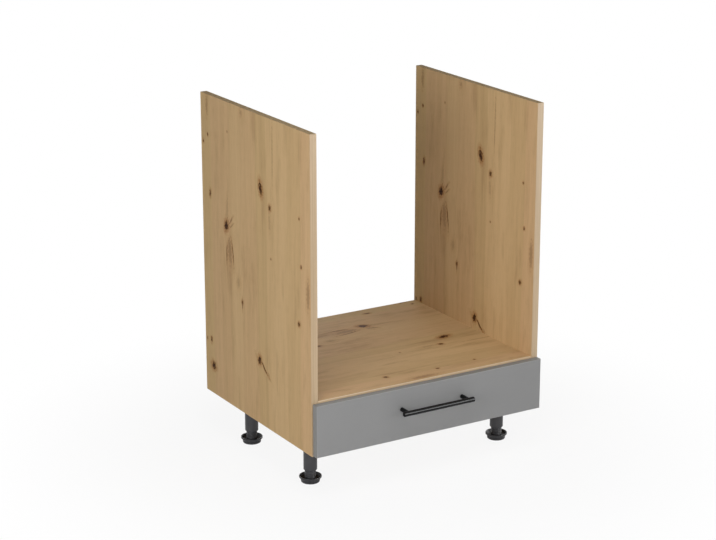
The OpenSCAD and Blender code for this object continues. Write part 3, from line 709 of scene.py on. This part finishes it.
def fibreboard(name, colour, tint):
    """Pressed fibres, from the tint of the darkest to the colour of the lightest."""
    material, tree, shader = finish(name)
    place = add(tree, "ShaderNodeTexCoord").outputs["Object"]
    fibres = noise(tree, vector(tree, "MULTIPLY", place, FIBRES), 1, detail=5, roughness=0.7)
    clouds = noise(tree, place, scale=14, detail=3)
    value = weighted(tree, (fibres, 0.6), (clouds, 0.4))
    feed(tree, shader.inputs, {"Base Color": ramp(tree, value, (0.3, tint), (0.7, colour)),
                               "Roughness": 0.7})
    bump(tree, shader, fibres, strength=0.3, distance=0.0002)
    return material


back_board = fibreboard("back board", screen(200, 175, 141), screen(170, 143, 108))
beech = fibreboard("beech dowel", screen(206, 173, 130), screen(176, 140, 98))
print("two finishes with fibres")

# %% [markdown]
# ## Metal and plastic
#
# Steel fasteners are zinc plated: a metal with a mottled gloss. The runners are steel under a white
# powder coat, whose fine peel shows in the highlights. Handle and posts have a black satin coat.
# The legs are moulded plastic, dark grey with a faint grain from the mould. A plain shader would
# give each of them one even gloss, and they would look like toys. So a noise spreads the roughness
# about its middle, a wider one shades the colour, and a fine one gives the surface its relief.

# %% Metal
def metal(name, colour, roughness):
    """Bare or plated steel with a mottled gloss."""
    material, tree, shader = finish(name, metallic=1.0)
    place = add(tree, "ShaderNodeTexCoord").outputs["Object"]
    mottle = noise(tree, place, scale=380, detail=4, roughness=0.65)
    feed(tree, shader.inputs, {
        "Base Color": mix(tree, fade(tree, mottle, 0.35, 0.65), darkened(colour, 0.8), colour),
        "Roughness": about(tree, mottle, roughness, 0.24)})
    bump(tree, shader, noise(tree, place, scale=2600), strength=0.12, distance=0.00005)
    return material


zinc = metal("zinc plated steel", screen(196, 196, 192), 0.34)
print("zinc plated steel")

# %% [markdown]
# Plastic and coats of paint are no metals to the renderer, so they get a function of their own.
# The grain says how fine the surface is, the relief how deep, and the gloss how much it mirrors at
# all. The black coat mirrors little, because the white ground would make it look grey.

# %% Plastics and coats
def moulded(name, colour, roughness, grain=900, relief=0.3, gloss=0.5):
    """Moulded plastic or a powder coat, with so many grains per metre."""
    material, tree, shader = finish(name)
    place = add(tree, "ShaderNodeTexCoord").outputs["Object"]
    texture = noise(tree, place, scale=grain, detail=3, roughness=0.55)
    cloud = noise(tree, place, scale=45, detail=3)
    feed(tree, shader.inputs, {
        "Base Color": mix(tree, fade(tree, cloud, 0.35, 0.65), darkened(colour, 0.84), colour),
        "Roughness": about(tree, texture, roughness, 0.16),
        "Specular IOR Level": gloss})
    bump(tree, shader, texture, strength=relief, distance=0.0001)
    return material


coated_steel = moulded("white powder coat", screen(226, 224, 218), 0.42, grain=1500, relief=0.25)
nylon = moulded("white nylon", screen(230, 228, 220), 0.38, grain=700, relief=0.15)
black_coat = moulded("black satin coat", screen(12, 12, 13), 0.20, grain=1800, relief=0.03,
                     gloss=0.15)
leg_plastic = moulded("dark grey plastic", screen(66, 66, 69), 0.45, gloss=0.35)
foot_plastic = moulded("near black plastic", screen(46, 46, 49), 0.40, gloss=0.35)
print("five plastics and coats")

# %% [markdown]
# ## Dressing the construction model
#
# Most pieces keep the construction model's shape and only get a finish. A table names the finish of
# each slot, and the record says which slot a node has and which body it moves with. Boards that
# lie flat are printed on their upper and lower faces, so they get a finish of their own.

# %% Finishes by slot
FINISHES = {
    "oak_board": oak_side, "oak_edging": edging_upright, "back_board": back_board,
    "grey_front": grey_film, "white_board": white_film, "white_sheet": white_sheet,
    "beech_dowel": beech, "zinc_steel": zinc, "coated_steel": coated_steel, "nylon": nylon,
    "leg_plastic": leg_plastic, "foot_plastic": foot_plastic, "buffer_rubber": buffer_plastic,
    "black_metal": black_coat,
}
slots = {part["node"]: part["material_slot"] for part in frame["record"]["subparts"]}
body_of = {name: body for body, names in frame["record"]["behaviour"]["bodies"].items()
           for name in names}
LEVEL_BOARDS = {"oven_deck": oak_level, "bottom_panel": oak_level, "deck_edging": edging_level,
                "bottom_edging": edging_level}
for name, piece in nodes.items():
    piece.data.materials.clear()
    piece.data.materials.append(LEVEL_BOARDS.get(name, FINISHES[slots[name]]))
print(len(nodes), "nodes dressed")

# %% [markdown]
# ## Screws and nails
#
# The construction model shows a screw as a plain cone on a shank. A real countersunk screw has a
# cross pressed into its head, and the long screws at the back of the drawer have a hexagonal
# socket. The steps are the same for each kind: one fastener is modelled with its recess, the
# places of its fellows are read from the loose pieces of the construction model's node, and a
# small geometry tree sets a copy on each place, pointing along its hole and turned by chance, as
# a fitter leaves them. Modelling all 44 one by one would give the same picture, but a tree keeps
# them alike, and a change of the model reaches every one of them.

# %% Outlines and rings
def cross(span, width):
    """The corners of a cross, each of whose arms is as wide as given."""
    h, w = span / 2, width / 2
    quarter = [Vector((h, -w)), Vector((h, w)), Vector((w, w))]
    return [Matrix.Rotation(math.pi / 2 * k, 2) @ p for k in range(4) for p in quarter]


def hexagon(radius):
    return [Vector((radius, 0)) @ Matrix.Rotation(math.pi / 3 * k, 2) for k in range(6)]


def ring(bm, radius, height, count=32):
    """New corners in a circle about Z."""
    turns = [math.tau * k / count for k in range(count)]
    return [bm.verts.new((radius * math.cos(a), radius * math.sin(a), height)) for a in turns]


def loop_edges(bm, loop):
    return [bm.edges.new((loop[k - 1], loop[k])) for k in range(len(loop))]


def wall(bm, first, second):
    """Faces between two outlines with the same number of corners."""
    for k in range(len(first)):
        bm.faces.new((first[k - 1], first[k], second[k], second[k - 1]))


print("a cross has", len(cross(2, 1)), "corners, a hexagon has", len(hexagon(1)))

# %% [markdown]
# The head's flat top is a ring between two outlines, the round rim and the recess. Filling between
# two closed outlines leaves the inner one open, and the walls of the recess go down from there.
# Cutting the recess out with a boolean would do too, but it leaves ragged faces on so small a head.

# %% One fastener
# the bottom of a recess has this share of its mouth's width, since the tool that pressed it tapers
BOTTOM_SHARE = 0.6
# a tip is a tiny ring, since the corners of a ring without radius would all be at one place
TIP_RADIUS = 1e-5
SMOOTH_BELOW = 35


def plain_mesh(name, bm):
    """A mesh whose faces look outward, smooth where they meet below an angle in degrees."""
    bmesh.ops.recalc_face_normals(bm, faces=bm.faces)
    mesh = bpy.data.meshes.new(name)
    bm.to_mesh(mesh)
    bm.free()
    mesh.polygons.foreach_set("use_smooth", [True] * len(mesh.polygons))
    mesh.set_sharp_from_angle(angle=math.radians(SMOOTH_BELOW))
    return mesh


def fastener(name, profile, recess, depth):
    """A turned fastener along +Z whose head starts at the origin. The profile is a list of
    (radius, height), from the rim of the head's flat top down to the tip. The recess is an
    outline in the head's top, and it goes down by depth and narrows on the way."""
    bm = bmesh.new()
    rim = ring(bm, *profile[0])
    if recess:
        mouth = [bm.verts.new((p.x, p.y, profile[0][1])) for p in recess]
        bottom = [(*(p * BOTTOM_SHARE), profile[0][1] + depth) for p in recess]
        floor_loop = [bm.verts.new(corner) for corner in bottom]
        bmesh.ops.triangle_fill(bm, use_beauty=True,
                                edges=loop_edges(bm, rim) + loop_edges(bm, mouth))
        wall(bm, mouth, floor_loop)
        bm.faces.new(floor_loop)
    else:
        bm.faces.new(rim)
    for radius, height in profile[1:]:
        lower = ring(bm, max(radius, TIP_RADIUS), height)
        wall(bm, rim, lower)
        rim = lower
    bm.faces.new(rim)
    open_edges = sum(not edge.is_manifold for edge in bm.edges)
    piece = bpy.data.objects.new(name, plain_mesh(name, bm))
    bpy.context.scene.collection.objects.link(piece)
    print(name, len(piece.data.polygons), "faces,", open_edges, "open edges")
    return piece


print("edges stay sharp above", SMOOTH_BELOW, "degrees")

# %% [markdown]
# The tree itself is short. It takes points that carry a direction, puts an instance on each, turns
# it, makes the instances real and gives them their finish. A tree works inside a modifier, so a
# helper puts it on an object, takes the mesh that comes out and removes the object again.

# %% A tree that sets fasteners
setting, given, result = group(
    "fasteners in their holes",
    {"Geometry": "Geometry", "Fastener": "Object", "Seed": "Int", "Finish": "Material"},
    {"Geometry": "Geometry"}, "GeometryNodeTree")
model = add(setting, "GeometryNodeObjectInfo", {"Object": given["Fastener"]})
aim = add(setting, "GeometryNodeInputNamedAttribute", {"Name": "aim"}, data_type="FLOAT_VECTOR")
facing = add(setting, "FunctionNodeAlignRotationToVector", {"Vector": aim.outputs[0]}, axis="Z")
chance = add(setting, "FunctionNodeRandomValue", {2: 0.0, 3: math.tau, 8: given["Seed"]},
             data_type="FLOAT")
turn = add(setting, "FunctionNodeAxisAngleToRotation",
           {"Axis": (0, 0, 1), "Angle": chance.outputs[1]})
turned = add(setting, "FunctionNodeRotateRotation",
             {"Rotation": facing.outputs[0], "Rotate By": turn.outputs[0]}, rotation_space="LOCAL")
copies = add(setting, "GeometryNodeInstanceOnPoints",
             {"Points": given["Geometry"], "Instance": model.outputs["Geometry"],
              "Rotation": turned.outputs[0]})
real = add(setting, "GeometryNodeRealizeInstances", {0: copies.outputs[0]})
dressed = add(setting, "GeometryNodeSetMaterial", {0: real.outputs[0], "Material": given["Finish"]})
setting.links.new(dressed.outputs[0], result["Geometry"])


def grown(tree, name, source, values):
    """The plain mesh that a geometry tree makes from a source mesh, as an object of its own."""
    carrier = bpy.data.objects.new(name + " source", source)
    bpy.context.scene.collection.objects.link(carrier)
    modifier = carrier.modifiers.new(name, "NODES")
    modifier.node_group = tree
    for item in tree.interface.items_tree:
        if item.in_out == "INPUT" and item.name in values:
            modifier[item.identifier] = values[item.name]
    seen = carrier.evaluated_get(bpy.context.evaluated_depsgraph_get())
    piece = bpy.data.objects.new(name, bpy.data.meshes.new_from_object(seen))
    bpy.context.scene.collection.objects.link(piece)
    bpy.data.objects.remove(carrier)
    return piece


print("tree with", len(setting.nodes), "nodes")

# %% [markdown]
# A node's loose pieces are found by walking along its edges, after corners at one place have been
# joined. The box round each loose piece gives its middle and how long and thick it is.

# %% Loose pieces of a node
SAME_PLACE = 1e-6


def loose_boxes(name):
    """The boxes round a node's loose pieces, from left to right and front to back."""
    bm = bmesh.new()
    bm.from_mesh(nodes[name].data)
    bmesh.ops.remove_doubles(bm, verts=bm.verts, dist=SAME_PLACE)
    left, boxes = set(bm.verts), []
    while left:
        todo, corners = [left.pop()], []
        while todo:
            corner = todo.pop()
            corners.append(corner.co.copy())
            for edge in corner.link_edges:
                other = edge.other_vert(corner)
                if other in left:
                    left.remove(other)
                    todo.append(other)
        boxes.append((Vector(map(min, zip(*corners))), Vector(map(max, zip(*corners)))))
    bm.free()
    return sorted(boxes, key=lambda box: [round(c, 4) for c in box[0]])


print("loose pieces of back_nails:", len(loose_boxes("back_nails")))

# %% [markdown]
# One function does the whole step for a node. It gives each place a point that knows the way in,
# models the fastener in the size found there, and lets the tree set the copies. The new piece
# stands for the node, takes the zinc finish and rides on its body.

# %% The fasteners of one node
def set_fasteners(name, way_in, profile, recess, depth, seed):
    """Sets a fastener on each loose piece of a node. way_in gives the direction for each of them,
    and profile(r, length) the outline for the head's radius and the length found there. The
    recess is depth times that radius deep."""
    boxes = loose_boxes(name)
    points = bpy.data.meshes.new(name + " places")
    ways = [way_in(low) for low, _ in boxes]
    starts = [(low + high) / 2 - way * abs((high - low) @ way) / 2
              for (low, high), way in zip(boxes, ways)]
    points.from_pydata(starts, [], [])
    carried = points.attributes.new("aim", "FLOAT_VECTOR", "POINT")
    carried.data.foreach_set("vector", [c for way in ways for c in way])
    size = boxes[0][1] - boxes[0][0]
    length = abs(size @ ways[0])
    head_r = min(side for side in size if side < length - SAME_PLACE) / 2
    model = fastener(name + " model", profile(head_r, length), recess(head_r), depth * head_r)
    piece = grown(setting, name + "_set", points, {"Fastener": model, "Seed": seed, "Finish": zinc})
    bpy.data.objects.remove(model)
    body = body_of[name]
    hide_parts(name)
    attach(piece, body)
    print(name, len(boxes), "set on", body)


print("zinc plated fasteners can be set")

# %% [markdown]
# Six nodes get new fasteners. Wood screws hold the runners and the plates of the legs, long
# screws with a socket hold the drawer's back, two screws with a round head hold the handle from
# inside the drawer, and nails with flat heads hold the back panel. The way in is upward for the
# legs, and forward at the back and at the handle. On the two sides it points opposite ways, so it
# is worked out from the fastener's place.

# %% Ways in
def towards_sides(low):
    return Vector((1 if low.x > 0 else -1, 0, 0))


def towards_middle(low):
    return -towards_sides(low)


def upwards(low):
    return Vector((0, 0, 1))


def forwards(low):
    return Vector((0, -1, 0))


print("on the left, the middle lies towards", [round(c) for c in towards_middle(front_edge)])

# %% [markdown]
# Each outline is written in shares of the head's radius r and of the length, from the head's flat
# top down to the tip. So a fastener always fits the hole that the construction model has for it,
# and one outline serves screws of any size.

# %% Outlines and recesses
def wood_screw(r, length):
    shank = 0.53 * r
    return [(0.97 * r, 0), (r, 0.04 * r), (shank, r - shank + 0.04 * r), (shank, length - 2 * shank),
            (0, length)]


def socket_screw(r, length):
    return [(0.97 * r, 0), (r, 0.04 * r), (0.7 * r, 0.34 * r), (0.7 * r, 0.28 * length),
            (0.5 * r, 0.28 * length), (0.5 * r, length - r), (0, length)]


def round_head(r, length):
    return [(0.76 * r, 0), (0.86 * r, 0.05 * r), (0.95 * r, 0.16 * r), (r, 0.32 * r), (r, 0.6 * r),
            (0.5 * r, 0.6 * r), (0.5 * r, length - 0.1 * r), (0.4 * r, length)]


def flat_nail(r, length):
    return [(0.8 * r, 0), (r, 0.15 * r), (r, 0.5 * r), (0.5 * r, 0.5 * r), (0.5 * r, length - r),
            (0, length)]


def cross_recess(r):
    return cross(1.16 * r, 0.26 * r)


def hexagon_recess(r):
    return hexagon(0.46 * r)


def no_recess(r):
    return []


outline = [[round(c, 2) for c in corner] for corner in wood_screw(4, 16)]
print("a wood screw of 8 by 16 mm has the outline", outline)

# %% [markdown]
# Now each node takes one line. The depth of a recess is a share of the head's radius. The seed
# decides how the heads are turned, and it is fixed, so that they look the same after each run.

# %% Set every fastener
set_fasteners("cabinet_rail_screws", towards_sides, wood_screw, cross_recess, depth=0.5, seed=3)
set_fasteners("drawer_rail_screws", towards_middle, wood_screw, cross_recess, depth=0.5, seed=5)
set_fasteners("leg_screws", upwards, wood_screw, cross_recess, depth=0.5, seed=8)
set_fasteners("drawer_back_screws", towards_middle, socket_screw, hexagon_recess, depth=0.6, seed=2)
set_fasteners("handle_screws", forwards, round_head, cross_recess, depth=0.4, seed=4)
set_fasteners("back_nails", forwards, flat_nail, no_recess, depth=0, seed=6)

# %% [markdown]
# ## The thread of the legs
#
# The stem of a levelling leg is moulded with a coarse thread, which shows between the tube and the
# foot. A bump in the finish would leave its outline straight, and a screw modifier would need its
# ends cut off. The thread follows one rule, so a geometry tree makes it. A flat grid is rolled up:
# one side goes once round, the other goes up. While it goes round it also climbs by one pitch, so
# each row of corners lies along the thread, and the row's number alone decides whether it is
# crest, flank or root. Rows beyond the ends are drawn in to the axis and close the stem, and at
# the seam each row meets the row one pitch further.

# %% A grid that climbs
# rows of corners in one turn of the thread
ROWS = 8

stem_tree, given, result = group(
    "threaded stem",
    {"Middle": "Vector", "Radius": "Float", "Depth": "Float", "Pitch": "Float", "Low": "Float",
     "Groove": "Float", "Start": "Float", "High": "Float", "Around": "Int", "Up": "Int",
     "Finish": "Material"},
    {"Geometry": "Geometry"}, "GeometryNodeTree")


def work(operation, *values, clamp=False):
    return calc(stem_tree, operation, *values, clamp=clamp)


grid = add(stem_tree, "GeometryNodeMeshGrid",
           {"Size X": 1.0, "Size Y": 1.0, "Vertices X": given["Around"], "Vertices Y": given["Up"]})
spot = add(stem_tree, "ShaderNodeSeparateXYZ",
           {0: add(stem_tree, "GeometryNodeInputPosition").outputs[0]}).outputs
around = work("ADD", spot["X"], 0.5)
row = work("MULTIPLY", work("ADD", spot["Y"], 0.5), work("SUBTRACT", given["Up"], 1.0))
turns = work("DIVIDE", row, float(ROWS))
climb = work("MULTIPLY_ADD", work("ADD", work("SUBTRACT", turns, 1.0), around),
             given["Pitch"], given["Low"])
height = add(stem_tree, "ShaderNodeClamp",
             {0: climb, 1: given["Low"], 2: given["High"]}).outputs[0]
print("rows per turn:", ROWS)

# %% [markdown]
# Two things are cut from the stem's round body. The thread is cut away between the crests, and it
# starts at the collar's top. Lower down, a ring is cut round the stem, into which a bead inside
# the foot's cup snaps. At the ends the radius is nothing.

# %% Thread and ring
# the ring's depth and half its width
RING_DEPTH = 0.0006
RING_HALF = 0.0012
# how steep its sides are: the cut goes from nothing to full depth over 0.4 mm
RING_STEEP = 1 / 0.0004
# keeps a row at the start of a turn from being taken for the end of the one before
NUDGE = 0.001

phase = work("FRACT", work("ADD", turns, NUDGE))
crest = work("MULTIPLY_ADD", work("ABSOLUTE", work("SUBTRACT", phase, 0.5)), 4.0, -0.5, clamp=True)
begun = work("DIVIDE", work("SUBTRACT", height, given["Start"]), given["Depth"], clamp=True)
thread_cut = work("MULTIPLY", work("MULTIPLY", work("SUBTRACT", 1.0, crest), begun), given["Depth"])
beside = work("ABSOLUTE", work("SUBTRACT", height, given["Groove"]))
ring_share = work("MULTIPLY_ADD", beside, -RING_STEEP, RING_STEEP * RING_HALF, clamp=True)
ring_cut = work("MULTIPLY", ring_share, RING_DEPTH)
inside = work("MULTIPLY", work("GREATER_THAN", climb, given["Low"]),
              work("LESS_THAN", climb, given["High"]))
radius = work("MULTIPLY", inside, work("SUBTRACT", given["Radius"],
                                       work("ADD", thread_cut, ring_cut)))
print("ring", round(RING_DEPTH * 1000, 1), "mm deep")

# %% [markdown]
# Height and radius are known for each corner, so the grid can be rolled up. Merging by distance
# closes the seam, smooth shading hides the 48 flats, and the last two steps make the result a
# plain mesh with a finish.

# %% Rolling up
angle = work("MULTIPLY", around, math.tau)
rolled = add(stem_tree, "ShaderNodeCombineXYZ", {
    "X": work("MULTIPLY", radius, work("COSINE", angle)),
    "Y": work("MULTIPLY", radius, work("SINE", angle)),
    "Z": height}).outputs[0]
shaped = add(stem_tree, "GeometryNodeSetPosition",
             {"Geometry": grid.outputs[0],
              "Position": vector(stem_tree, "ADD", rolled, given["Middle"])})
joined = add(stem_tree, "GeometryNodeMergeByDistance",
             {"Geometry": shaped.outputs[0], "Distance": 2 * SAME_PLACE})
smooth = add(stem_tree, "GeometryNodeSetShadeSmooth", {"Geometry": joined.outputs[0]})
real = add(stem_tree, "GeometryNodeRealizeInstances", {0: smooth.outputs[0]})
dressed = add(stem_tree, "GeometryNodeSetMaterial", {0: real.outputs[0], "Material": given["Finish"]})
stem_tree.links.new(dressed.outputs[0], result["Geometry"])
print("tree with", len(stem_tree.nodes), "nodes")

# %% [markdown]
# Each stem takes its place and its size from the construction model's node. Slivers are then
# dissolved and the normals turned outward, since a rolled grid doesn't know its outside.

# %% Four threaded stems
THREAD_DEPTH = 0.0012
THREAD_PITCH = 0.004
# heights above the floor: the thread starts at the collar's top, and the ring is below it
COLLAR_TOP = 0.0125
RING_HEIGHT = 0.0059
# corners in a row, the last of which meets the first of the row one pitch further
AROUND = 49

stems = [name for name in nodes if name.endswith("_stem")]
for name in stems:
    low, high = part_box(name)
    middle = (low + high) / 2
    up = ROWS * (math.ceil((high.z - low.z) / THREAD_PITCH) + 2) + 1
    piece = grown(stem_tree, name + "_threaded", bpy.data.meshes.new(name + " start"), {
        "Middle": (middle.x, middle.y, 0), "Radius": (high.x - low.x) / 2,
        "Depth": THREAD_DEPTH, "Pitch": THREAD_PITCH, "Low": low.z, "Groove": RING_HEIGHT,
        "Start": COLLAR_TOP, "High": high.z, "Around": AROUND, "Up": up, "Finish": leg_plastic})
    bm = bmesh.new()
    bm.from_mesh(piece.data)
    bmesh.ops.dissolve_degenerate(bm, edges=bm.edges, dist=SAME_PLACE)
    bmesh.ops.recalc_face_normals(bm, faces=bm.faces)
    open_edges = sum(not edge.is_manifold for edge in bm.edges)
    volume = bm.calc_volume(signed=True)
    bm.to_mesh(piece.data)
    bm.free()
    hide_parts(name)
    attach(piece, body_of[name])
    print(name, len(piece.data.polygons), "faces,", open_edges, "open edges, volume",
          round(volume * 1e6, 2), "cm3")

# %% [markdown]
# ## The last step
#
# The view layer is brought up to date, so that every moved piece has its place worked out.

# %% Update the scene
bpy.context.view_layer.update()
